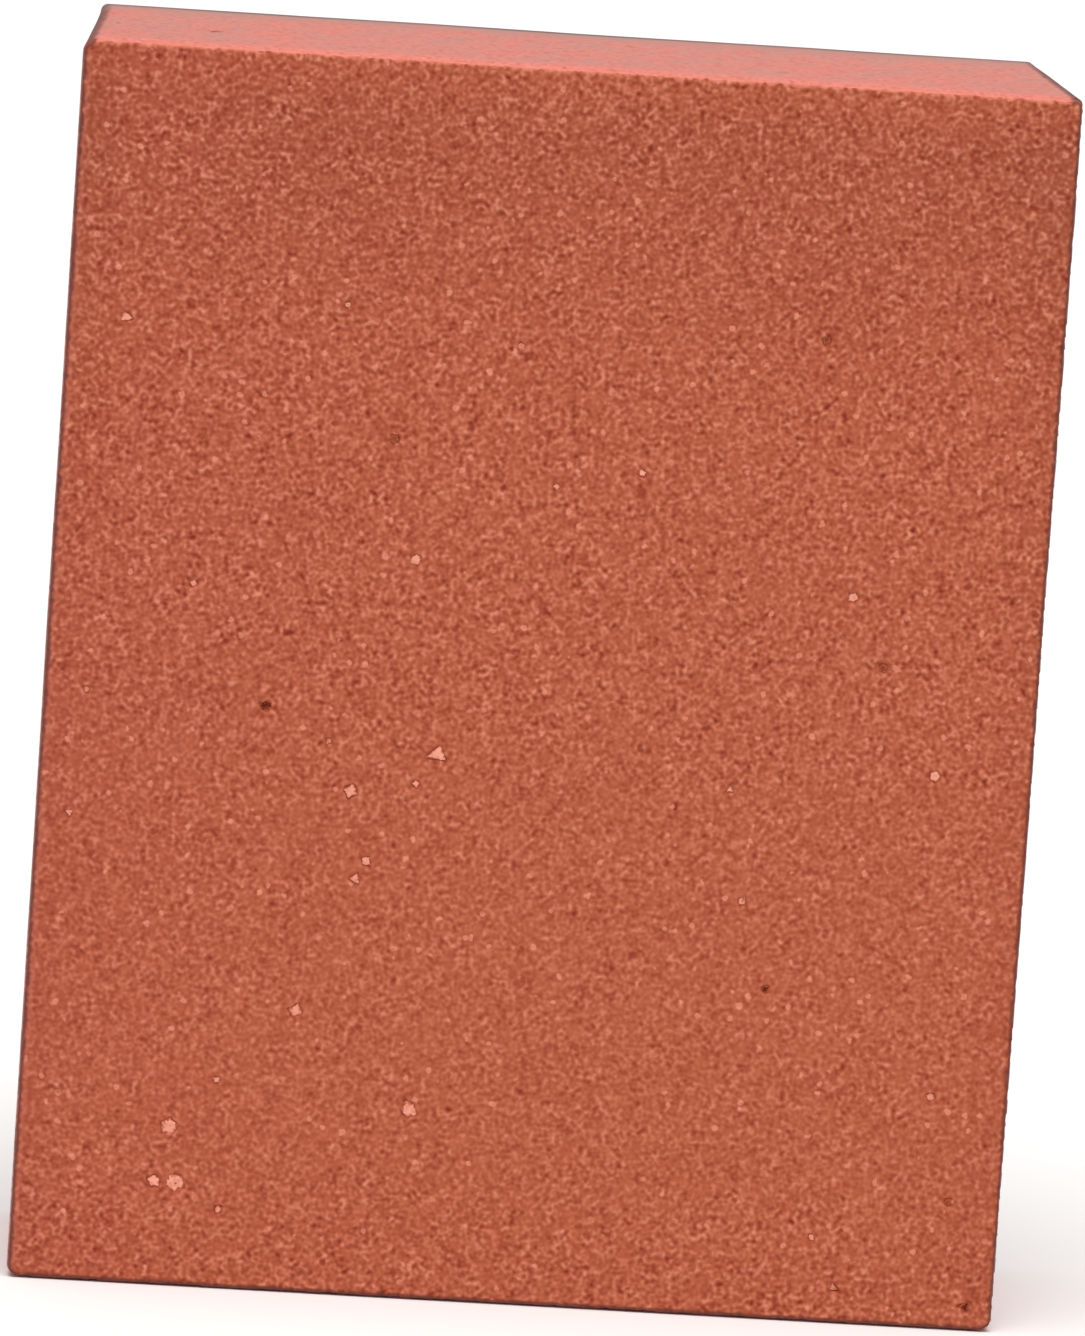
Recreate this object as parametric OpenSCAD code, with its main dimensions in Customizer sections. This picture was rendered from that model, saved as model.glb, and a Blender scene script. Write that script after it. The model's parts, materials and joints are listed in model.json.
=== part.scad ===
// Clay bar: one moulded block of detailing clay, stood on its short end.
// X runs across the bar, the working face looks towards -Y and Z runs up its height.
// The origin is the middle of the foot, the end that it stands on.

/* [Bar] */
// Width of the working face
bar_w = 64; // [48:0.5:96]
// Height of the bar as it stands
bar_h = 80.5; // [60:0.5:120]
// Thickness from the working face to the back
bar_t = 21; // [14:0.5:36]
// Draft of the left and right sides, in degrees, which makes the back narrower
side_draft = 4; // [0:0.5:8]

/* [Edges] */
// Radius of the rim round the working face
front_rim_r = 0.35; // [0.15:0.05:1]
// Radius of the rim round the back
back_rim_r = 0.4; // [0.15:0.05:2]
// Front corner radius at the top left, where the bar is worn
worn_corner_r = 1.1; // [0.5:0.1:4]
// Front corner radius at the top right, which is crisp
crisp_corner_r = 0.5; // [0.3:0.1:4]
// Front corner radius at both ends of the foot
foot_corner_r = 0.8; // [0.3:0.1:4]
// Radius of all four corners of the back
back_corner_r = 0.5; // [0.3:0.1:4]

/* [Grains] */
// Size of all grains, as a share of their usual sizes
grain_scale = 1; // [0.6:0.1:1.4]
// Depth of a grain below the surface, as a share of its width
grain_depth = 0.7; // [0.4:0.05:1]
// Width of a coarse pale grain on the scattered faces
coarse_w = 0.75; // [0.5:0.05:1]
// Width of a fine pale grain
fine_w = 0.42; // [0.25:0.01:0.5]
// Width of a dark grain
dark_w = 0.5; // [0.3:0.05:0.8]
// Columns and rows of scattered grains on the back
back_cells = [6, 8]; // [1:1:10]
// Columns and rows of scattered grains on each side
side_cells = [2, 7]; // [1:1:8]

/* [Hidden] */

PUCK_FN = 32;                 // facets round each corner of the block
PUCK_FLAT = 0.05;             // least flat left inside a puck's rounded rim
RIM_STEPS = 5;                // facets across the rim's rounding
COARSE = 0;
FINE = 1;
DARK = 2;
KIND_W = [coarse_w, fine_w, dark_w];
KIND_COLOR = ["#f3a98c", "#e8967a", "#6e2a16"];
KIND_CYCLE = [FINE, COARSE, FINE, DARK, FINE, FINE, COARSE];
CROWN = 0.9;                  // height of a grain's outer point before it is cut flush
GIRDLE = 0.12;                // depth of a grain's widest ring
STRAY = 0.8;                  // how far a scattered grain strays, as a share of its room
WIDTH_PLAY = 0.2;             // how much wider or narrower a scattered grain may be

back_w = bar_w - 2 * bar_t * tan(side_draft);
side_w = bar_t / cos(side_draft);
grain_room = max(KIND_W) * grain_scale;

// Grains on the working face: percent of the width from the middle line,
// percent of the height from the foot, and width.
FRONT_COARSE = [
    [-33.5, 8.5, 1.05], [-35.6, 8.5, 0.7], [-34.5, 13, 0.95], [-10.5, 15.5, 1],
    [-22.5, 23, 0.9], [-17.5, 34, 0.55], [-16.5, 35.5, 0.55], [-18.5, 41, 0.75],
    [-10, 44.5, 0.95], [40, 45, 0.65], [30.5, 59, 0.6], [-13.5, 60, 0.65], [-44, 78, 0.65]
];
FRONT_FINE = [
    [33.5, 3, 0.45], [38.5, 2.5, 0.45], [-29, 6.5, 0.4], [31, 7, 0.4], [-30, 17, 0.4],
    [42, 19, 0.5], [21.5, 34, 0.45], [-46.5, 38, 0.4], [-12, 42, 0.4], [19.5, 43, 0.35],
    [-21, 45, 0.35], [-45.5, 48, 0.4], [-35.5, 57, 0.4], [0, 66.5, 0.4], [8.5, 68, 0.4],
    [-4.5, 77.5, 0.5], [-22, 80, 0.35]
];
FRONT_DARK = [
    [47, 2, 0.5], [44.5, 10.5, 0.35], [24.5, 27, 0.4], [-27.5, 47.5, 0.7],
    [34, 53.5, 0.45], [-35.5, 69, 0.5], [-16.5, 69.5, 0.5], [26, 79.5, 0.45]
];
// The one on the top end: percent of the width, percent of the thickness from the front
TOP_DARK = [[-36.5, 39, 0.7]];

function face_size(face) =
    face == "front" ? [bar_w, bar_h] :
    face == "back" ? [back_w, bar_h] :
    face == "top" ? [bar_w, bar_t] :
    [side_w, bar_h];

// Listed grains, each as [face, across, up, width, seed]
function listed(face, places, seed) =
    let (size = face_size(face))
    [
        for (i = [0 : len(places) - 1])
            let (p = places[i])
            [face, p[0] / 100 * size[0], p[1] / 100 * size[1], p[2] * grain_scale, seed + i]
    ];

// One grain of a kind in each cell whose turn it is, over a face split into cells
function scattered(face, cells, kind, seed) =
    let (
        size = face_size(face),
        pitch = [size[0] / cells[0], size[1] / cells[1]],
        room = [for (p = pitch) max(0, p / 2 - grain_room) * STRAY]
    )
    [
        for (row = [0 : cells[1] - 1], column = [0 : cells[0] - 1])
            let (
                cell = row * cells[0] + column,
                luck = rands(-1, 1, 3, seed + cell),
                across = (column + 0.5) * pitch[0] - size[0] / 2 + luck[0] * room[0],
                up = (row + 0.5) * pitch[1] + luck[1] * room[1],
                width = KIND_W[kind] * (1 + luck[2] * WIDTH_PLAY) * grain_scale
            )
            if (KIND_CYCLE[cell % len(KIND_CYCLE)] == kind)
                [face, across, up, width, seed + cell]
    ];

function all_scattered(kind) = concat(
    scattered("back", back_cells, kind, 100),
    scattered("left", side_cells, kind, 200),
    scattered("right", side_cells, kind, 300)
);

GRAINS = [
    concat(listed("front", FRONT_COARSE, 400), all_scattered(COARSE)),
    concat(listed("front", FRONT_FINE, 500), all_scattered(FINE)),
    concat(listed("front", FRONT_DARK, 600), listed("top", TOP_DARK, 700), all_scattered(DARK))
];

// Puts children on a face with +Z pointing out of it. across is measured from the
// face's middle line, and up from its foot, or on the top end from its front edge.
module on_face(face, across, up) {
    if (face == "front")
        translate([across, -bar_t / 2, up]) rotate([90, 0, 0]) children();
    if (face == "back")
        translate([across, bar_t / 2, up]) rotate([-90, 0, 0]) children();
    if (face == "top")
        translate([across, up - bar_t / 2, bar_h]) children();
    if (face == "left" || face == "right") {
        side = face == "left" ? -1 : 1;
        translate([side * (bar_w + back_w) / 4, 0, up]) rotate([0, 0, side * side_draft])
            translate([0, across, 0]) rotate([0, side * 90, 0]) children();
    }
}

// A crushed grain: two uneven cones on one ring, widest a little below the surface.
// Its cut face covers about as much as a circle of its width.
module grain(width, seed) {
    sides = floor(rands(3.4, 6.6, 1, seed)[0]);
    evened_r = width / 2 * sqrt(2 * PI / (sides * sin(360 / sides)));
    ring_r = evened_r * (CROWN + GIRDLE) / CROWN;
    spread = rands(0.8, 1.15, sides, seed + 1);
    turn = rands(0, 360, 1, seed + 2)[0];
    ring = [
        for (i = [0 : sides - 1])
            let (angle = turn + 360 * i / sides)
            [ring_r * spread[i] * cos(angle), ring_r * spread[i] * sin(angle), -GIRDLE * width]
    ];
    polyhedron(
        points = concat(ring, [[0, 0, CROWN * width], [0, 0, -grain_depth * width]]),
        faces = concat(
            [for (i = [0 : sides - 1]) [sides, (i + 1) % sides, i]],
            [for (i = [0 : sides - 1]) [sides + 1, i, (i + 1) % sides]]
        )
    );
}

module grains(kind) {
    for (g = GRAINS[kind])
        on_face(g[0], g[1], g[2]) grain(g[3], g[4]);
}

// A corner of the block: a round puck whose outer rim is rounded, with its rim at z = 0
module corner_puck(corner_r, rim_r) {
    rim = [
        for (i = [0 : RIM_STEPS])
            let (angle = 90 - 90 * i / RIM_STEPS)
            [corner_r - rim_r + rim_r * cos(angle), -rim_r + rim_r * sin(angle)]
    ];
    rotate_extrude($fn = PUCK_FN) polygon(concat([[0, 0]], rim, [[0, -rim_r]]));
}

// The four pucks of one face, whose outer faces lie in the plane z = 0.
// radii are those of the top left, the top right and the two foot corners.
module face_corners(width, rim_r, radii) {
    corners = [[-1, 1, radii[0]], [1, 1, radii[1]], [-1, 0, radii[2]], [1, 0, radii[2]]];
    for (c = corners) {
        corner_r = max(c[2], rim_r + PUCK_FLAT);
        x = c[0] * (width / 2 - corner_r);
        z = c[1] == 1 ? bar_h - corner_r : corner_r;
        translate([x, z, 0]) corner_puck(corner_r, rim_r);
    }
}

// The block before its pockets
module bar_blank() {
    hull() {
        translate([0, -bar_t / 2, 0]) rotate([90, 0, 0])
            face_corners(bar_w, front_rim_r, [worn_corner_r, crisp_corner_r, foot_corner_r]);
        translate([0, bar_t / 2, 0]) mirror([0, 1, 0]) rotate([90, 0, 0])
            face_corners(back_w, back_rim_r, [back_corner_r, back_corner_r, back_corner_r]);
    }
}

module clay_body() {
    color("#b85a3f") difference() {
        bar_blank();
        for (kind = [COARSE, FINE, DARK]) grains(kind);
    }
}

module flush_grains(kind) {
    color(KIND_COLOR[kind]) intersection() {
        bar_blank();
        grains(kind);
    }
}

module coarse_pale_grains() { flush_grains(COARSE); }

module fine_pale_grains() { flush_grains(FINE); }

module dark_grains() { flush_grains(DARK); }

clay_body();
coarse_pale_grains();
fine_pale_grains();
dark_grains();
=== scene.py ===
"""Clay bar: a moulded block of terracotta detailing clay, the grit set in it and a small studio.

Everything is in metres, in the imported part's frame: X across the bar, the working face
towards -Y, Z up the bar, and the foot standing on z = 0.
"""

import contextlib
import json
import math
import random

import bmesh
import bpy
import numpy as np
from mathutils import Matrix, Vector
from mathutils.bvhtree import BVHTree

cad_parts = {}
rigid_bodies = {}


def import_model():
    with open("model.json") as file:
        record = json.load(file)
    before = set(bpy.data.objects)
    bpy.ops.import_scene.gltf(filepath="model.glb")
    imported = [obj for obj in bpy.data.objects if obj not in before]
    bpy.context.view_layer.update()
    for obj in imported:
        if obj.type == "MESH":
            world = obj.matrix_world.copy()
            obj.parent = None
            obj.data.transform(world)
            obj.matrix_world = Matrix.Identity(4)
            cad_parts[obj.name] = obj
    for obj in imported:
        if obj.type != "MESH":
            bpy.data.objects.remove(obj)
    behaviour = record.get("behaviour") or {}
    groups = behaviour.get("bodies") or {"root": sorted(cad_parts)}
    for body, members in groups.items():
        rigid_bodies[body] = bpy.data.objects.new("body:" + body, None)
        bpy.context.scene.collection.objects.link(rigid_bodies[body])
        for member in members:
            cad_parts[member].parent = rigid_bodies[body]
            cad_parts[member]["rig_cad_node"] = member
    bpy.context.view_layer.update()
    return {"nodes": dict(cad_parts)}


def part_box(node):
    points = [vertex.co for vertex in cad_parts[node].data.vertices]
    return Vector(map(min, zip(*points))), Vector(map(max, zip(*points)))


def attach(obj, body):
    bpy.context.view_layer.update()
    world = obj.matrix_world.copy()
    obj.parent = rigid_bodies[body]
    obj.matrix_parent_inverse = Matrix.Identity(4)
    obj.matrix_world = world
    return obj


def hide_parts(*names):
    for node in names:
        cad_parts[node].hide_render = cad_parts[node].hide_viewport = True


bl_info = {
    "name": "Clay bar",
    "version": (1, 0, 0),
    "blender": (4, 5, 0),
    "location": "3D View > Sidebar > Clay bar",
    "description": "Builds a bar of detailing clay, the grit set in it and a small studio",
    "category": "Add Mesh",
}

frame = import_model()

MM = 0.001
BODY = "root"
BLOCK_LOW, BLOCK_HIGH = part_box("clay_body")
BLOCK_SIZE = BLOCK_HIGH - BLOCK_LOW
BLOCK_CENTRE = (BLOCK_LOW + BLOCK_HIGH) / 2
GRIT_KINDS = {
    "coarse_pale_grit": "coarse_pale_grains",
    "fine_pale_grit": "fine_pale_grains",
    "dark_grit": "dark_grains",
}


# ---------------------------------------------------------------- settings


def length(name, text, mm):
    """A length property whose default is given in millimetres."""
    return bpy.props.FloatProperty(
        name=name, description=text, default=mm * MM, min=0.0, unit="LENGTH", precision=5
    )


def colour(name, text, rgb):
    """A colour property whose default is given as 0 to 255 display values."""
    return bpy.props.FloatVectorProperty(
        name=name, description=text, default=[linear(c) for c in rgb], subtype="COLOR", size=3
    )


def linear(value):
    """One display value from 0 to 255 as scene-linear light."""
    v = value / 255
    return v / 12.92 if v <= 0.04045 else ((v + 0.055) / 1.055) ** 2.4


class BlockSettings(bpy.types.PropertyGroup):
    side_draft: bpy.props.FloatProperty(
        name="Side draft",
        description="Lean of the left and right sides, which makes the back narrower",
        default=math.radians(4),
        unit="ROTATION",
    )
    front_rim: length("Front rim", "Radius of the rim round the working face", 0.35)
    back_rim: length("Back rim", "Radius of the rim round the back", 0.4)
    worn_corner: length("Worn corner", "Front corner radius at the top left", 1.1)
    crisp_corner: length("Crisp corner", "Front corner radius at the top right", 0.5)
    foot_corner: length("Foot corners", "Front corner radius at both ends of the foot", 0.8)
    back_corner: length("Back corners", "Corner radius at all four corners of the back", 0.5)
    mesh_step: length("Mesh step", "Spacing of the mesh on the sides and the back", 0.84)
    sway: length("Sway", "Depth of the slow unevenness of every face", 0.06)
    lumps: length("Lumps", "Depth of the small lumps of the large faces", 0.06)
    crease_wear: length("Crease wear", "Depth to which the top front rim has crumbled", 0.16)
    rim_wear: length("Rim wear", "Depth to which the other front rims have crumbled", 0.1)


class GritSettings(bpy.types.PropertyGroup):
    recess: length("Recess", "Depth of a grain's face below the clay", 0.015)
    socket: length("Socket", "Depth of the clay's socket under a grain", 0.11)
    lip: length("Lip", "Width of the gap round a grain", 0.07)
    chipping: length("Chipping", "Width of a grain's chipped edges", 0.03)
    crush: length("Crush", "How far crushing has moved a grain's corners", 0.06)
    tilt: bpy.props.FloatProperty(
        name="Tilt", description="The most that a grain lies askew", default=math.radians(5),
        unit="ROTATION",
    )


class ColourSettings(bpy.types.PropertyGroup):
    clay: colour("Clay", "The clay's middle tone", (188, 93, 60))
    clay_dark: colour("Clay, dark", "What the clay's grain darkens towards", (138, 32, 0))
    clay_light: colour("Clay, light", "What the clay's grain lightens towards", (255, 164, 134))
    clay_red: colour("Clay, red", "The redder clay along the left", (187, 82, 60))
    clay_brown: colour("Clay, brown", "The browner clay near the top and the sides", (170, 81, 51))
    # The skin's pink and pale clouds are its own colour; their paleness above the clay is painted
    # sheen and painted top light
    skin_pink_sheen: colour("Skin, pink", "The pinker clouds of the sides' and ends' skin", (228, 127, 111))
    skin_pale_sheen: colour("Skin, pale", "The paler, duller clouds of that skin", (211, 135, 122))
    # Painted highlight on the skin near the working face
    skin_highlight: colour("Skin, bright", "The skin near the top front rim", (234, 130, 114))
    # Painted shade: the greyer band near the back of the top end, where it turns over the back rim
    skin_grey_shade: colour("Skin, grey", "Grey shade on the skin near the back", (184, 136, 126))
    # Painted shade: the dark grey line along the back of the top end
    back_line_shade: colour("Back grime", "The dark grey line along the back of the top end", (104, 80, 76))
    rosy: colour("Rosy edge", "The pinker clay just inside the left rim", (204, 112, 96))
    # Painted highlight: the lighter line along the top front rim, added to the real shading of its
    # rounding
    crease_highlight: colour("Highlit edge", "The clay laid bare along the top rim", (224, 124, 102))
    # Painted shade: the dark line along the outer rims, added to the real shading where their rounding
    # turns away from the light
    rim_shading: colour("Shaded_rims", "The dark line along the outer rims", (100, 44, 36))
    # Painted shade: the colour laid in the gaps round the grit, added to the real shadows of the
    # sockets
    grit_gap_shade: colour("Gap_shade", "Small pores and the gaps round the grit", (112, 42, 22))
    pale_grit: colour("Pale grit", "The pale grains", (255, 172, 148))
    dark_grit: colour("Dark grit", "The dark grains", (98, 24, 6))
    floor: colour("Floor", "The studio floor", (245, 245, 244))


class StageSettings(bpy.types.PropertyGroup):
    azimuth: bpy.props.FloatProperty(
        name="Azimuth", description="Camera's turn round the bar", default=math.radians(-3.48),
        unit="ROTATION",
    )
    elevation: bpy.props.FloatProperty(
        name="Elevation", description="Camera's height above the horizon",
        default=math.radians(9.08), unit="ROTATION",
    )
    roll: bpy.props.FloatProperty(
        name="Roll", description="Camera's tilt about its own line of sight",
        default=math.radians(3.98), unit="ROTATION",
    )
    distance: length("Distance", "From the camera to the bar", 787.5)
    aim_across: length("Aim across", "How far right of the middle the camera looks", 0.55)
    aim_height: length("Aim height", "How high on the bar the camera looks", 40.1)
    lens: bpy.props.FloatProperty(
        name="Lens", description="Focal length on a 36 mm sensor, in millimetres", default=326.8
    )
    floor_width: length("Floor", "Width of the studio floor", 8000)
    room_light: bpy.props.FloatProperty(
        name="Room light", description="Strength of the light from all round", default=0.35
    )
    overhead_light: bpy.props.FloatProperty(
        name="Overhead light", description="Strength of the wide light overhead", default=2.75
    )


class ClayBarSettings(bpy.types.PropertyGroup):
    block: bpy.props.PointerProperty(type=BlockSettings)
    grit: bpy.props.PointerProperty(type=GritSettings)
    colours: bpy.props.PointerProperty(type=ColourSettings)
    stage: bpy.props.PointerProperty(type=StageSettings)


# ---------------------------------------------------------------- modelling helpers


def take_alone(obj):
    """Makes obj the active object and the only one selected."""
    bpy.ops.object.select_all(action="DESELECT")
    obj.select_set(True)
    bpy.context.view_layer.objects.active = obj


@contextlib.contextmanager
def editing(obj):
    """Edit mode on obj alone, with everything selected at the start."""
    take_alone(obj)
    bpy.ops.object.mode_set(mode="EDIT")
    bpy.ops.mesh.select_mode(type="FACE")
    bpy.ops.mesh.select_all(action="SELECT")
    yield
    bpy.ops.object.mode_set(mode="OBJECT")


def select_faces(obj, test):
    """In edit mode, selects only the faces whose centre and normal pass the test."""
    bpy.ops.mesh.select_all(action="DESELECT")
    shape = bmesh.from_edit_mesh(obj.data)
    for face in shape.faces:
        if test(face.calc_center_median(), face.normal):
            face.select_set(True)
    shape.select_flush_mode()
    bmesh.update_edit_mesh(obj.data)


def points_of(obj):
    co = np.empty(len(obj.data.vertices) * 3)
    obj.data.vertices.foreach_get("co", co)
    return co.reshape(-1, 3)


def set_points(obj, points):
    obj.data.vertices.foreach_set("co", np.asarray(points, float).ravel())
    obj.data.update()


def normals_of(obj):
    no = np.empty(len(obj.data.vertices) * 3)
    obj.data.vertex_normals.foreach_get("vector", no)
    return no.reshape(-1, 3)


def smooth(value, low, high):
    """0 below low, 1 above high and an even curve between them."""
    t = np.clip((value - low) / (high - low), 0, 1)
    return t * t * (3 - 2 * t)


def store(obj, name, values):
    """Keeps one number for each vertex, for the materials."""
    attribute = obj.data.attributes.new(name, "FLOAT", "POINT")
    attribute.data.foreach_set("value", np.asarray(values, np.float32))


def weigh(obj, name, values):
    """A vertex group whose weights are the given numbers."""
    group = obj.vertex_groups.new(name=name)
    for index, value in enumerate(np.asarray(values, float).tolist()):
        if value > 0:
            group.add([index], value, "REPLACE")
    return group.name


def press_in(obj, name, size, depth, group="", direction="NORMAL"):
    """Presses a pattern of lumps into the surface, never outwards, and applies it."""
    texture = bpy.data.textures.new(name, "CLOUDS")
    texture.noise_scale = size
    modifier = obj.modifiers.new(name, "DISPLACE")
    modifier.texture = texture
    modifier.texture_coords = "LOCAL"
    modifier.direction = direction
    modifier.mid_level = 1.0
    modifier.strength = depth
    modifier.vertex_group = group
    take_alone(obj)
    bpy.ops.object.modifier_apply(modifier=name)


# ---------------------------------------------------------------- shader helpers


class Socket:
    """A shader value. Its arithmetic adds Math nodes to the material's tree."""

    def __init__(self, shader, link):
        self.shader = shader
        self.link = link

    def _math(self, operation, *values):
        return self.shader.make("ShaderNodeMath", {"operation": operation}, values)

    def __add__(self, other):
        return self._math("ADD", self, other)

    def __radd__(self, other):
        return self._math("ADD", other, self)

    def __sub__(self, other):
        return self._math("SUBTRACT", self, other)

    def __rsub__(self, other):
        return self._math("SUBTRACT", other, self)

    def __mul__(self, other):
        return self._math("MULTIPLY", self, other)

    def __rmul__(self, other):
        return self._math("MULTIPLY", other, self)


class Shader:
    """A material whose nodes are written as expressions."""

    def __init__(self, name):
        self.material = bpy.data.materials.new(name)
        self.material.use_nodes = True
        self.tree = self.material.node_tree
        self.surface = self.tree.nodes["Principled BSDF"]

    def make(self, kind, settings=None, values=(), output=0):
        """One node: its settings first, then its sockets, by place or by name."""
        node = self.tree.nodes.new(kind)
        for key, value in (settings or {}).items():
            setattr(node, key, value)
        pairs = values.items() if isinstance(values, dict) else enumerate(values)
        for key, value in pairs:
            self._feed(node.inputs[key], value)
        return Socket(self, node.outputs[output])

    def _feed(self, target, value):
        if isinstance(value, Socket):
            self.tree.links.new(value.link, target)
        elif hasattr(value, "__len__") and len(value) == 3 and target.type == "RGBA":
            target.default_value = (*value, 1)
        else:
            target.default_value = value

    def place(self):
        return self.make("ShaderNodeTexCoord", output="Object")

    def stretched(self, place, scale, turn=(0, 0, 0)):
        values = {"Vector": place, "Scale": scale, "Rotation": turn}
        return self.make("ShaderNodeMapping", {"vector_type": "POINT"}, values)

    def part(self, place, axis):
        return self.make("ShaderNodeSeparateXYZ", None, [place], output=axis)

    def stored(self, name):
        return self.make("ShaderNodeAttribute", {"attribute_name": name}, output="Fac")

    def noise(self, place, size, detail=2.0, roughness=0.5):
        """Smooth noise about size metres from one lump to the next."""
        values = {
            "Vector": place, "Scale": 1 / size, "Detail": detail, "Roughness": roughness,
        }
        return self.make("ShaderNodeTexNoise", {"noise_dimensions": "3D"}, values)

    def cells(self, place, size):
        """The distance to the middle of a random cell about size metres wide."""
        values = {"Vector": place, "Scale": 1 / size}
        return self.make("ShaderNodeTexVoronoi", None, values, output="Distance")

    def between(self, value, low, high):
        """0 where value is low, 1 where it is high, with an even curve between."""
        values = {"Value": value, "From Min": low, "From Max": high}
        settings = {"interpolation_type": "SMOOTHSTEP"}
        return self.make("ShaderNodeMapRange", settings, values)

    def mix(self, share, first, second):
        """first where share is 0, second where it is 1; a share outside 0 to 1 is clamped."""
        settings = {"data_type": "RGBA", "clamp_factor": True}
        return self.make("ShaderNodeMix", settings, {0: share, 6: first, 7: second}, output=2)

    def bump(self, height, depth, below=None):
        values = {"Strength": 1.0, "Distance": depth, "Height": height}
        if below is not None:
            values["Normal"] = below
        return self.make("ShaderNodeBump", None, values)

    def finish(self, **sockets):
        for name, value in sockets.items():
            self._feed(self.surface.inputs[name.replace("_", " ")], value)
        return self.material


# ---------------------------------------------------------------- materials

# Sizes of the clay's patterns, from one lump, cloud or grain to the next
DRIFT_SIZE = 14 * MM
CLOUD_SIZE = 0.9 * MM
FINE_SIZE = 0.29 * MM
FINE_SIZE_ASKEW = 0.37 * MM
GRAIN_SIZE = 0.66 * MM
PATCH_SIZE = 1.1 * MM
LUCK_SIZE = 3.0 * MM
SPECK_SIZE = 1.2 * MM
PORE_SIZE = 1.5 * MM
STREAK_SIZE = 0.6 * MM
RAGGED_SIZE = 0.45 * MM
RAGGED_REACH = 1.2 * MM       # how far the coloured rims stray in all
BEND_SIZE = 0.5 * MM
BEND_REACH = 0.45 * MM        # how far bending moves a grain's outline


def clay_material(tones):
    """Grainy terracotta clay: mottled large faces, and smoother sides and ends."""
    s = Shader("terracotta_clay")
    place = s.place()
    across, depth, height = (s.part(place, axis) for axis in range(3))
    skin = s.stored("skin")
    side = s.stored("side")
    gap = s.stored("gap")

    # Slow drifts of the clay's tone over the whole block
    drift = s.noise(place, DRIFT_SIZE)
    left = s.between(across, 0.0, BLOCK_LOW.x) * s.between(drift, 0.3, 0.6)
    top = s.between(height, 0.7 * BLOCK_SIZE.z, 0.97 * BLOCK_SIZE.z) * (1.3 - drift)
    top = top * s.between(height, BLOCK_HIGH.z, BLOCK_HIGH.z - 4 * MM)
    half = BLOCK_SIZE.x / 2
    sides = s.between(across * across, (0.86 * half) ** 2, half ** 2)
    tone = s.mix(left * 0.35, tones.clay, tones.clay_red)
    tone = s.mix(top * 0.8 + sides * 0.35, tone, tones.clay_brown)
    to_back_rim = s.stored("to_back_rim")
    cloudy = s.stretched(place, (0.4, 0.25, 0.6))
    clouds = s.noise(cloudy, CLOUD_SIZE) - 0.5
    # The skin of the sides and ends: its own pink and pale clouds, paler than the clay as painted
    # sheen and top light; the sides keep more of the clay's tone
    end = s.mix(clouds * 2.8 + 0.5, tones.skin_pale_sheen, tones.skin_pink_sheen)
    # Painted highlight on the skin within a few millimetres of the working face
    bright = s.between(depth, BLOCK_LOW.y + 3.5 * MM, BLOCK_LOW.y + 0.5 * MM)
    end = s.mix(bright * 0.7, end, tones.skin_highlight)
    end = s.mix(side * 0.55, end, tones.clay)
    tone = s.mix(skin, tone, end)

    # The mottling of the grains, stronger in some patches than in others
    askew = s.stretched(place, (1, 1, 1), turn=(0.7, 0.5, 0.3))
    wander = s.make(
        "ShaderNodeTexNoise", None, {"Vector": place, "Scale": 1 / BEND_SIZE}, output="Color"
    )
    bent = s.make(
        "ShaderNodeVectorMath", {"operation": "MULTIPLY_ADD"},
        [wander, (BEND_REACH,) * 3, place],
    )
    fine = s.noise(place, FINE_SIZE, detail=0.0) + s.noise(askew, FINE_SIZE_ASKEW, detail=0.0)
    grains = s.cells(bent, GRAIN_SIZE)
    patches = s.noise(askew, PATCH_SIZE, detail=0.0) * 1.2 + 0.4
    calm = s.between(height, 2 * MM, 12 * MM) * s.between(height, 48 * MM, 24 * MM)
    mottle = ((fine - 1.0) + (0.47 - grains) * 0.35) * patches * (1.12 - calm * 0.22)
    seen = 1 - skin * (0.62 - side * 0.17)
    tone = s.mix(mottle * 0.8 * seen, tone, tones.clay_light)
    tone = s.mix(mottle * -1.3 * seen, tone, tones.clay_dark)

    # Pale specks and pores, none of them quite round
    luck = s.noise(place, LUCK_SIZE, detail=0.0)
    specks = s.between(s.cells(bent, SPECK_SIZE), 0.2, 0.12) * s.between(luck, 0.42, 0.58)
    tone = s.mix(specks * 0.5 * seen, tone, tones.clay_light)
    turned = s.stretched(bent, (1, 1, 1), turn=(0.4, 0.9, 0.2))
    pores = s.between(s.cells(turned, PORE_SIZE), 0.2, 0.1) * s.between(luck, 0.6, 0.45)
    tone = s.mix(pores * 0.5 * seen, tone, tones.clay_dark)

    # The rims: a painted highlight along the top one, painted shade along the outline, and painted
    # shade along the back of the top end
    ragged = (s.noise(place, RAGGED_SIZE, detail=1.0) - 0.5) * RAGGED_REACH
    rosy = s.between(across - BLOCK_LOW.x + ragged * 0.5, 0.75 * MM, 0.5 * MM) * (1 - skin)
    tone = s.mix(rosy * 0.3, tone, tones.rosy)
    # Painted highlight along the top front rim
    crease_highlight = s.between(s.stored("to_crease") + ragged, 0.36 * MM, 0.1 * MM)
    tone = s.mix(crease_highlight * 0.75, tone, tones.crease_highlight)
    # Painted shade along the outer rims, on top of the real shading of their rounding
    outline = s.between(s.stored("to_outline") + ragged * 0.35, 0.48 * MM, 0.18 * MM)
    tone = s.mix(outline * 0.8, tone, tones.rim_shading)
    # Painted shade on the top end: greyer towards the back rim, with a darker painted line along it
    back_band_shade = s.between(to_back_rim, 6.0 * MM, 2.0 * MM) * (skin - side)
    tone = s.mix(back_band_shade * 0.6, tone, tones.skin_grey_shade)
    back_line_shade_mask = s.between(to_back_rim, 1.9 * MM, 0.7 * MM) * (skin - side)
    tone = s.mix(back_line_shade_mask * (0.3 + drift), tone, tones.back_line_shade)
    # Painted shade in the gaps round the grit, on top of the sockets' real shadows
    tone = s.mix(gap * 0.15, tone, tones.grit_gap_shade)

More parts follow.
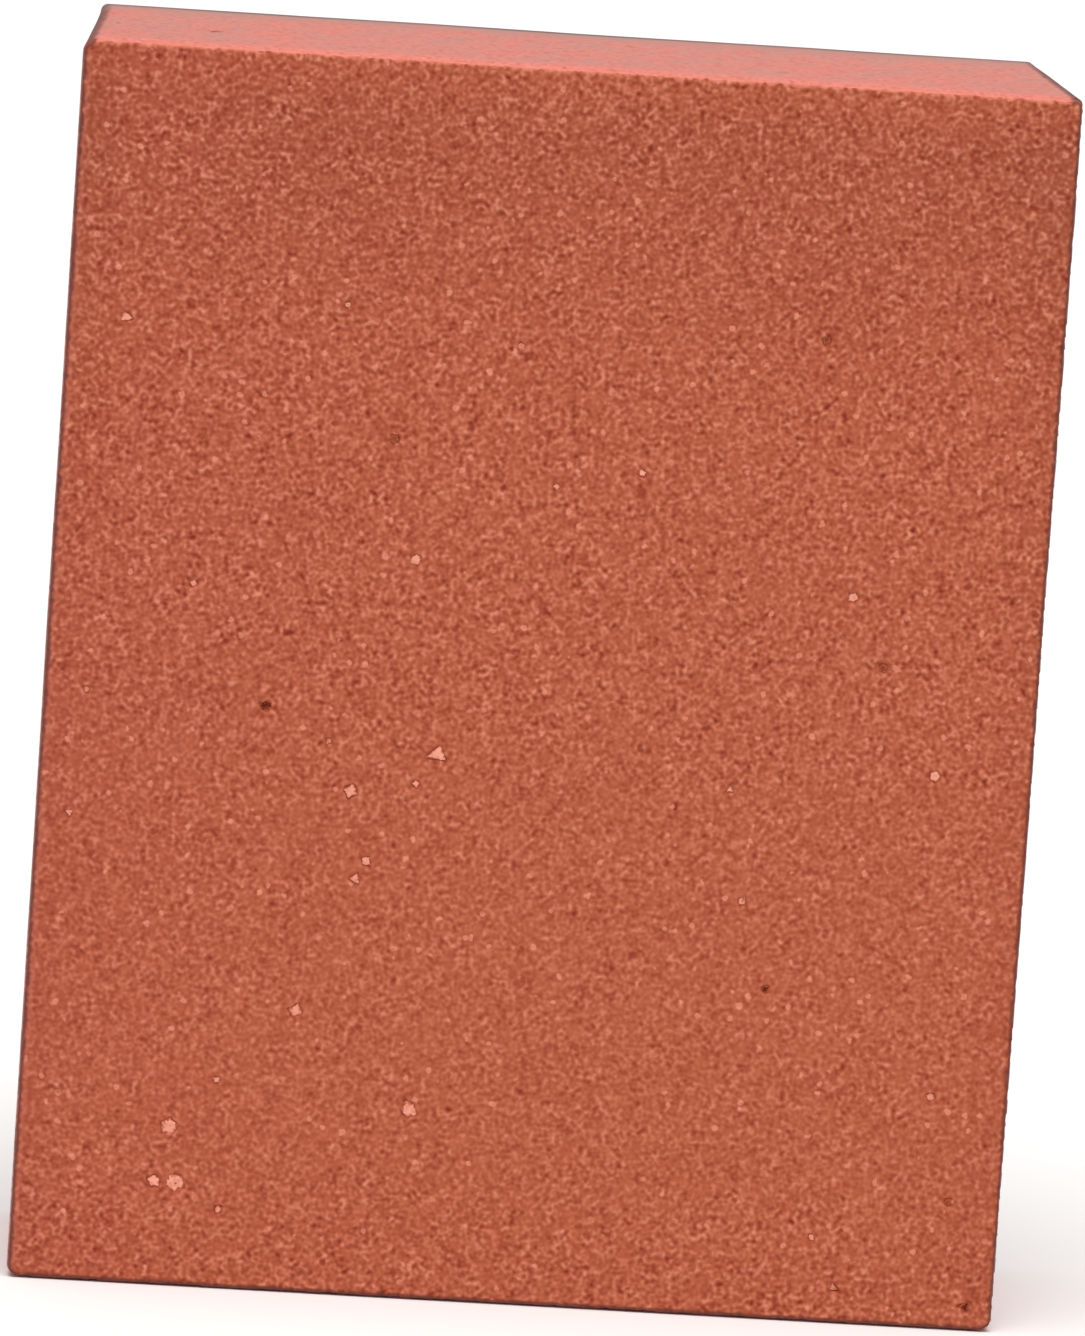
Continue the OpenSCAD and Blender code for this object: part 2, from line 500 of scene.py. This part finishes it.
    relief = mottle + specks * 0.15 - pores * 0.3
    grainy = s.bump(relief * (1 - skin * 0.85), 0.06 * MM)
    streaks = s.noise(s.stretched(place, (0.15, 1, 1)), STREAK_SIZE)
    normal = s.bump(streaks * skin, 0.02 * MM, below=grainy)
    return s.finish(Base_Color=tone, Roughness=0.86 - skin * 0.42, Normal=normal)


def grit_material(name, tone, tones, fleck_size, clinging):
    """Crushed mineral with clay clinging to it: at its rim, and more on some grains than others."""
    s = Shader(name)
    place = s.place()
    broken = s.noise(place, fleck_size, roughness=0.6)
    flecks = s.noise(place, fleck_size / 3, detail=1.0)
    luck = s.between(s.noise(place, 9 * MM, detail=0.0), 0.35, 0.65)
    lapping = s.between(s.stored("rim") + (flecks - 0.5) * 1.2, 0.7, 1.1)
    coat = s.between(broken, 0.6, 0.3) * 0.4 + luck * clinging + lapping
    tone_now = s.mix(coat, tone, tones.clay)
    normal = s.bump(broken + flecks * 0.5, 0.05 * MM)
    return s.finish(
        Base_Color=tone_now, Roughness=0.78 - broken * 0.2, Normal=normal, Specular_IOR_Level=0.15
    )


def floor_material(tones):
    s = Shader("studio_floor")
    return s.finish(Base_Color=tuple(tones.floor), Roughness=0.9, Specular_IOR_Level=0.2)


# ---------------------------------------------------------------- the clay block

# How near a rim the mesh is halved, and whether it is the back one
RIM_REFINEMENTS = ((1.2 * MM, False), (0.7 * MM, False), (1.2 * MM, True), (0.8 * MM, True))
SWAY_SIZE = 12 * MM
LUMP_SIZE = 0.8 * MM
CRUMB_SIZE = 0.32 * MM        # of what has crumbled from the rims


def rounded(points, block):
    """Moves the points of a sharp-edged block onto its rounded corners and rims."""
    p = points - np.array(BLOCK_CENTRE)
    half = np.array(BLOCK_SIZE) / 2
    depth = half[1] + p[:, 1]                     # from the working face
    to_back = half[1] - p[:, 1]

    # The outline's corners: square rings become round ones
    top, right = p[:, 2] > 0, p[:, 0] > 0
    radius = np.where(top, np.where(right, block.crisp_corner, block.worn_corner), block.foot_corner)
    radius = radius + depth / BLOCK_SIZE.y * (block.back_corner - radius)
    corner_x = half[0] - radius
    corner_z = half[2] - radius
    dx = np.maximum(np.abs(p[:, 0]) - corner_x, 0)
    dz = np.maximum(np.abs(p[:, 2]) - corner_z, 0)
    reach = np.hypot(dx, dz)
    ring = np.maximum(dx, dz)
    in_corner = (dx > 0) & (dz > 0)
    shrink = np.where(in_corner, ring / np.maximum(reach, 1e-12), 1.0)
    ux = np.where(reach > 0, dx / np.maximum(reach, 1e-12), 0)
    uz = np.where(reach > 0, dz / np.maximum(reach, 1e-12), 0)
    in_from_edge = radius - ring                  # inwards from the outline

    # The rims: the square edge between a face and the outline's wall becomes a quarter round
    for rim, level, sign in ((block.front_rim, depth, 1), (block.back_rim, to_back, -1)):
        a = np.maximum(rim - in_from_edge, 0)
        b = np.maximum(rim - level, 0)
        near = (a > 0) & (b > 0)
        scale = np.where(near, np.maximum(a, b) / np.maximum(np.hypot(a, b), 1e-12), 1)
        in_from_edge = np.where(near, rim - a * scale, in_from_edge)
        p[:, 1] = np.where(near, sign * (rim - b * scale - half[1]), p[:, 1])

    moved = radius - in_from_edge
    px = np.where(dx > 0, corner_x + np.where(in_corner, ux * moved, moved), np.abs(p[:, 0]))
    pz = np.where(dz > 0, corner_z + np.where(in_corner, uz * moved, moved), np.abs(p[:, 2]))
    p[:, 0] = np.sign(p[:, 0]) * px
    p[:, 2] = np.sign(p[:, 2]) * pz
    narrowing = (p[:, 1] + half[1]) * math.tan(block.side_draft) / half[0]
    p[:, 0] *= 1 - narrowing
    return p + np.array(BLOCK_CENTRE)


def cut_blank(block):
    """A sharp block with an even mesh, finest along the front rim."""
    bpy.ops.mesh.primitive_cube_add(size=1, location=BLOCK_CENTRE)
    obj = bpy.context.object
    obj.name = "clay_block"
    bpy.ops.object.transform_apply(location=True, rotation=True, scale=True)
    with editing(obj):
        bpy.ops.transform.resize(value=BLOCK_SIZE, center_override=BLOCK_CENTRE)
        chunk = BLOCK_SIZE.y
        for axis in (0, 2):
            normal = Vector((axis == 0, 0, axis == 2))
            chunks = round(BLOCK_SIZE[axis] / chunk)
            for i in range(1, chunks):
                plane = BLOCK_LOW + normal * (BLOCK_SIZE[axis] * i / chunks)
                bpy.ops.mesh.select_all(action="SELECT")
                bpy.ops.mesh.bisect(plane_co=plane, plane_no=normal)
        bpy.ops.mesh.select_all(action="SELECT")
        bpy.ops.mesh.subdivide(number_cuts=round(chunk / block.mesh_step) - 1)
        select_faces(obj, lambda centre, normal: normal.y < -0.5)
        bpy.ops.mesh.subdivide(number_cuts=1)
        for reach, back in RIM_REFINEMENTS:
            def near_rim(centre, normal, reach=reach, back=back):
                level = BLOCK_HIGH.y - centre.y if back else centre.y - BLOCK_LOW.y
                inwards = min(
                    centre.x - BLOCK_LOW.x, BLOCK_HIGH.x - centre.x,
                    centre.z - BLOCK_LOW.z, BLOCK_HIGH.z - centre.z,
                )
                return level < reach and inwards < reach
            select_faces(obj, near_rim)
            bpy.ops.mesh.subdivide(number_cuts=1)
    return obj


def make_clay_block(settings):
    """The block of clay: rounded, marked for its material, uneven and crumbled at its rims."""
    block = settings.block
    obj = cut_blank(block)
    sharp = points_of(obj)
    set_points(obj, rounded(sharp, block))
    skin = smooth(np.abs(normals_of(obj)[:, 1]), 0.85, 0.35)
    side = smooth(np.abs(normals_of(obj)[:, 0]), 0.35, 0.85)
    to_side = BLOCK_SIZE.x / 2 - np.abs(sharp[:, 0])
    to_front, to_back = sharp[:, 1] - BLOCK_LOW.y, BLOCK_HIGH.y - sharp[:, 1]
    to_foot, to_top = sharp[:, 2] - BLOCK_LOW.z, BLOCK_HIGH.z - sharp[:, 2]
    to_crease = np.maximum(to_front, to_top)
    front_rims = np.maximum(to_front, np.minimum(to_side, to_foot))
    top_rims = np.maximum(to_side - block.crisp_corner, to_top)
    back_rims = np.maximum(to_back, np.minimum(to_side, np.minimum(to_foot, to_top)))
    outline = np.minimum(np.minimum(front_rims, top_rims), back_rims)
    store(obj, "skin", skin)
    store(obj, "side", side)
    store(obj, "to_crease", to_crease)
    store(obj, "to_outline", outline)
    store(obj, "to_back_rim", np.maximum(to_back, to_top))
    press_in(obj, "sway", SWAY_SIZE, block.sway)
    at_rim = smooth(np.minimum(to_crease, outline), 0.9 * MM, 0.2 * MM)
    large = weigh(obj, "large_faces", (1 - skin) * (1 - at_rim))
    press_in(obj, "lumps", LUMP_SIZE, block.lumps, large)
    for rim, distance, direction, depth in (
        ("top_rim", to_top, "Z", block.crease_wear), ("foot_rim", to_foot, "Z", -block.rim_wear),
        ("left_rim", np.where(sharp[:, 0] < 0, to_side, 1), "X", -block.rim_wear),
        ("right_rim", np.where(sharp[:, 0] > 0, to_side, 1), "X", block.rim_wear),
    ):
        near = weigh(obj, rim, smooth(np.maximum(to_front, distance), 0.8 * MM, 0.1 * MM))
        press_in(obj, rim, CRUMB_SIZE, depth, near, direction)
    take_alone(obj)
    bpy.ops.object.shade_smooth()
    obj.data.materials.append(clay_material(settings.colours))
    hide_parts("clay_body")
    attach(obj, BODY)
    return obj


# ---------------------------------------------------------------- the grit

FLUSH = 0.02 * MM             # how level the points of a grain's outer face are
SOCKET_ZONE = 0.3 * MM        # how far round a grain the clay's mesh is refined
SOCKET_REFINEMENTS = 2
CRUSH_SEED = 5
SAME_POINT = 0.002 * MM       # points nearer than this are merged
FLAT_ANGLE = math.radians(2)  # faces that turn less than this are joined
CRISP_ANGLE = math.radians(28)  # edges that turn more than this stay crisp


def depth_in_block(points, block):
    """How deep points lie below the nearest of the block's faces, the foot aside."""
    lean = math.tan(block.side_draft) * (points[:, 1] - BLOCK_LOW.y)
    return np.min([
        points[:, 1] - BLOCK_LOW.y,
        BLOCK_HIGH.y - points[:, 1],
        BLOCK_HIGH.z - points[:, 2],
        BLOCK_HIGH.x - lean - np.abs(points[:, 0]),
    ], axis=0)


def is_flush(point, block):
    """Whether a point lies on one of the block's faces, the foot aside."""
    return depth_in_block(np.array([point]), block)[0] < FLUSH


def mark_rims(obj, block):
    """In edit mode, stores 0 in the middle of each grain's outer face and 1 everywhere else."""
    shape = bmesh.from_edit_mesh(obj.data)
    rim = shape.verts.layers.float.new("rim")
    for vertex in shape.verts:
        faces = vertex.link_faces
        inside = all(is_flush(face.calc_center_median(), block) for face in faces)
        vertex[rim] = 0.0 if inside else 1.0
    bmesh.update_edit_mesh(obj.data)


def separate_solids(shape):
    """The separate solids of a mesh, each as the list of its vertices."""
    left = dict.fromkeys(shape.verts)
    while left:
        found = [next(iter(left))]
        del left[found[0]]
        for vertex in found:
            for edge in vertex.link_edges:
                other = edge.other_vert(vertex)
                if other in left:
                    del left[other]
                    found.append(other)
        yield found


def lay_in_clay(obj, clay, settings):
    """Moves each grain to the clay's uneven surface, a little below it and slightly askew."""
    grit = settings.grit
    luck = random.Random(obj.name)
    shape = bmesh.new()
    shape.from_mesh(obj.data)
    for solid in separate_solids(shape):
        points = np.array([vertex.co for vertex in solid])
        depths = depth_in_block(points, settings.block)
        middle = Vector(points[depths < depths.min() + FLUSH].mean(axis=0))
        _, place, outwards, _ = clay.closest_point_on_mesh(middle)
        depth = grit.recess * luck.uniform(0.3, 1.7)
        askew = Vector([luck.uniform(-1, 1) for _ in range(3)]).normalized()
        turn = Matrix.Rotation(luck.uniform(0, grit.tilt), 3, askew)
        for vertex in solid:
            vertex.co = place - outwards * depth + turn @ (vertex.co - middle)
    shape.to_mesh(obj.data)
    shape.free()


def make_grains(node, slot, finish, clay, settings):
    """One kind of grain: the plain solids, laid in the clay's real surface, chipped and crushed."""
    grit = settings.grit
    take_alone(frame["nodes"][node])
    bpy.ops.object.duplicate()
    obj = bpy.context.object
    obj.name = slot
    del obj["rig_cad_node"]                        # the copy stands for the node, but isn't it
    with editing(obj):
        bpy.ops.mesh.remove_doubles(threshold=SAME_POINT)
        bpy.ops.mesh.dissolve_limited(angle_limit=FLAT_ANGLE)
        select_faces(obj, lambda centre, normal: is_flush(centre, settings.block))
        bpy.ops.mesh.poke()
        mark_rims(obj, settings.block)
        bpy.ops.mesh.select_all(action="SELECT")
        bpy.ops.mesh.subdivide(number_cuts=1)
        bpy.ops.transform.vertex_random(offset=grit.crush, seed=CRUSH_SEED)
    chipped = obj.modifiers.new("chipped", "BEVEL")
    chipped.width = grit.chipping
    chipped.limit_method = "ANGLE"
    take_alone(obj)
    bpy.ops.object.modifier_apply(modifier="chipped")
    lay_in_clay(obj, clay, settings)
    bpy.ops.object.shade_smooth_by_angle(angle=CRISP_ANGLE)
    obj.data.materials.clear()
    obj.data.materials.append(finish)
    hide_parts(node)
    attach(obj, BODY)
    return obj


def press_sockets(clay, grains, settings):
    """Presses the clay in under and round every grain, so that it lies in a small socket."""
    grit = settings.grit
    trees = []
    for obj in grains:
        shape = bmesh.new()
        shape.from_mesh(obj.data)
        trees.append(BVHTree.FromBMesh(shape))
        shape.free()

    def gap_at(point, reach):
        """The distance to the nearest grain, or reach where none is nearer."""
        found = [tree.find_nearest(point, reach)[3] for tree in trees]
        return min([reach] + [distance for distance in found if distance is not None])

    for _ in range(SOCKET_REFINEMENTS):
        with editing(clay):
            select_faces(clay, lambda centre, normal: gap_at(centre, SOCKET_ZONE) < SOCKET_ZONE)
            bpy.ops.mesh.subdivide(number_cuts=1)
    reach = grit.lip * 2
    gaps = np.array([gap_at(vertex.co, reach) for vertex in clay.data.vertices])
    sunk = smooth(gaps, grit.lip * 1.6, grit.lip * 0.9)
    # The mask of the painted shade in the gaps round the grains
    store(clay, "gap", smooth(gaps, grit.lip * 1.5, grit.lip * 0.5))
    socket = clay.modifiers.new("sockets", "DISPLACE")
    socket.mid_level = 0.0
    socket.strength = -grit.socket
    socket.vertex_group = weigh(clay, "sockets", sunk)
    take_alone(clay)
    bpy.ops.object.modifier_apply(modifier="sockets")


def make_grit(settings):
    """All three kinds of grain, and the clay's sockets round them."""
    clay = bpy.data.objects.get("clay_block")
    if clay is None:
        raise RuntimeError("Make the clay block first: the grit is set in it")
    tones = settings.colours
    looks = {
        "coarse_pale_grit": (tones.pale_grit, 0.45 * MM, 0.15),
        "fine_pale_grit": (tones.pale_grit, 0.3 * MM, 0.45),
        "dark_grit": (tones.dark_grit, 0.3 * MM, 0.7),
    }
    grains = []
    for slot, (tone, fleck_size, clinging) in looks.items():
        finish = grit_material(slot, tone, tones, fleck_size, clinging)
        grains.append(make_grains(GRIT_KINDS[slot], slot, finish, clay, settings))
    press_sockets(clay, grains, settings)


# ---------------------------------------------------------------- operators


class CLAYBAR_OT_clay_block(bpy.types.Operator):
    """Model the block of clay in place of its plain solid"""

    bl_idname = "claybar.clay_block"
    bl_label = "Clay block"

    def execute(self, context):
        make_clay_block(context.scene.clay_bar)
        return {"FINISHED"}


class CLAYBAR_OT_grit(bpy.types.Operator):
    """Set the pale and dark grains in the clay block"""

    bl_idname = "claybar.grit"
    bl_label = "Grit"

    def execute(self, context):
        make_grit(context.scene.clay_bar)
        return {"FINISHED"}


OVERHEAD_PLACE = (0, -0.27, 1)  # only its direction matters, which leans to the front
OVERHEAD_SPREAD = math.radians(50)
SENSOR_WIDTH = 36             # in millimetres, which the lens setting goes by
VIEW_LIMIT = 20               # in metres, beyond the far side of the floor


def aim(obj, target, roll=0.0):
    """Turns a camera or light at obj's place towards a point."""
    forward = (Vector(target) - obj.location).normalized()
    turn = forward.to_track_quat("-Z", "Y").to_matrix()
    obj.rotation_euler = (turn @ Matrix.Rotation(roll, 3, "Z")).to_euler()


def make_stage(settings):
    """A wide pale floor, light from all round and overhead, and the camera."""
    stage = settings.stage
    bpy.ops.object.select_all(action="DESELECT")
    bpy.ops.mesh.primitive_plane_add(size=stage.floor_width)
    floor = bpy.context.object
    floor.name = "studio_floor"
    floor.data.materials.append(floor_material(settings.colours))

    world = bpy.data.worlds.new("studio")
    world.use_nodes = True
    world.node_tree.nodes["Background"].inputs["Color"].default_value = (1, 1, 1, 1)
    world.node_tree.nodes["Background"].inputs["Strength"].default_value = stage.room_light
    bpy.context.scene.world = world

    bpy.ops.object.light_add(type="SUN", location=OVERHEAD_PLACE)
    overhead = bpy.context.object
    overhead.name = "overhead_light"
    overhead.data.angle = OVERHEAD_SPREAD
    overhead.data.energy = stage.overhead_light
    aim(overhead, (0, 0, 0))

    bpy.ops.object.camera_add()
    camera = bpy.context.object
    camera.name = "camera"
    flat = math.cos(stage.elevation)
    back = Vector((
        math.sin(stage.azimuth) * flat, -math.cos(stage.azimuth) * flat, math.sin(stage.elevation)
    ))
    target = Vector((stage.aim_across, 0, stage.aim_height))
    camera.location = target + back * stage.distance
    aim(camera, target, stage.roll)
    camera.data.lens = stage.lens
    camera.data.sensor_width = SENSOR_WIDTH
    camera.data.clip_end = VIEW_LIMIT
    bpy.context.scene.camera = camera
    bpy.context.scene.view_settings.view_transform = "Standard"


class CLAYBAR_OT_stage(bpy.types.Operator):
    """Set up the floor, the lights and the camera"""

    bl_idname = "claybar.stage"
    bl_label = "Studio"

    def execute(self, context):
        make_stage(context.scene.clay_bar)
        return {"FINISHED"}


class CLAYBAR_PT_panel(bpy.types.Panel):
    """Lists the bar's pieces and the studio"""

    bl_idname = "CLAYBAR_PT_panel"
    bl_label = "Clay bar"
    bl_space_type = "VIEW_3D"
    bl_region_type = "UI"
    bl_category = "Clay bar"

    def draw(self, context):
        for operator in (CLAYBAR_OT_stage, CLAYBAR_OT_clay_block, CLAYBAR_OT_grit):
            self.layout.operator(operator.bl_idname)


CLASSES = (
    BlockSettings, GritSettings, ColourSettings, StageSettings, ClayBarSettings,
    CLAYBAR_OT_clay_block, CLAYBAR_OT_grit, CLAYBAR_OT_stage, CLAYBAR_PT_panel,
)


def register():
    for cls in CLASSES:
        bpy.utils.register_class(cls)
    bpy.types.Scene.clay_bar = bpy.props.PointerProperty(type=ClayBarSettings)


def unregister():
    del bpy.types.Scene.clay_bar
    for cls in reversed(CLASSES):
        bpy.utils.unregister_class(cls)


def main():
    register()
    bpy.ops.claybar.stage()
    bpy.ops.claybar.clay_block()
    bpy.ops.claybar.grit()


if __name__ == "__main__":
    main()
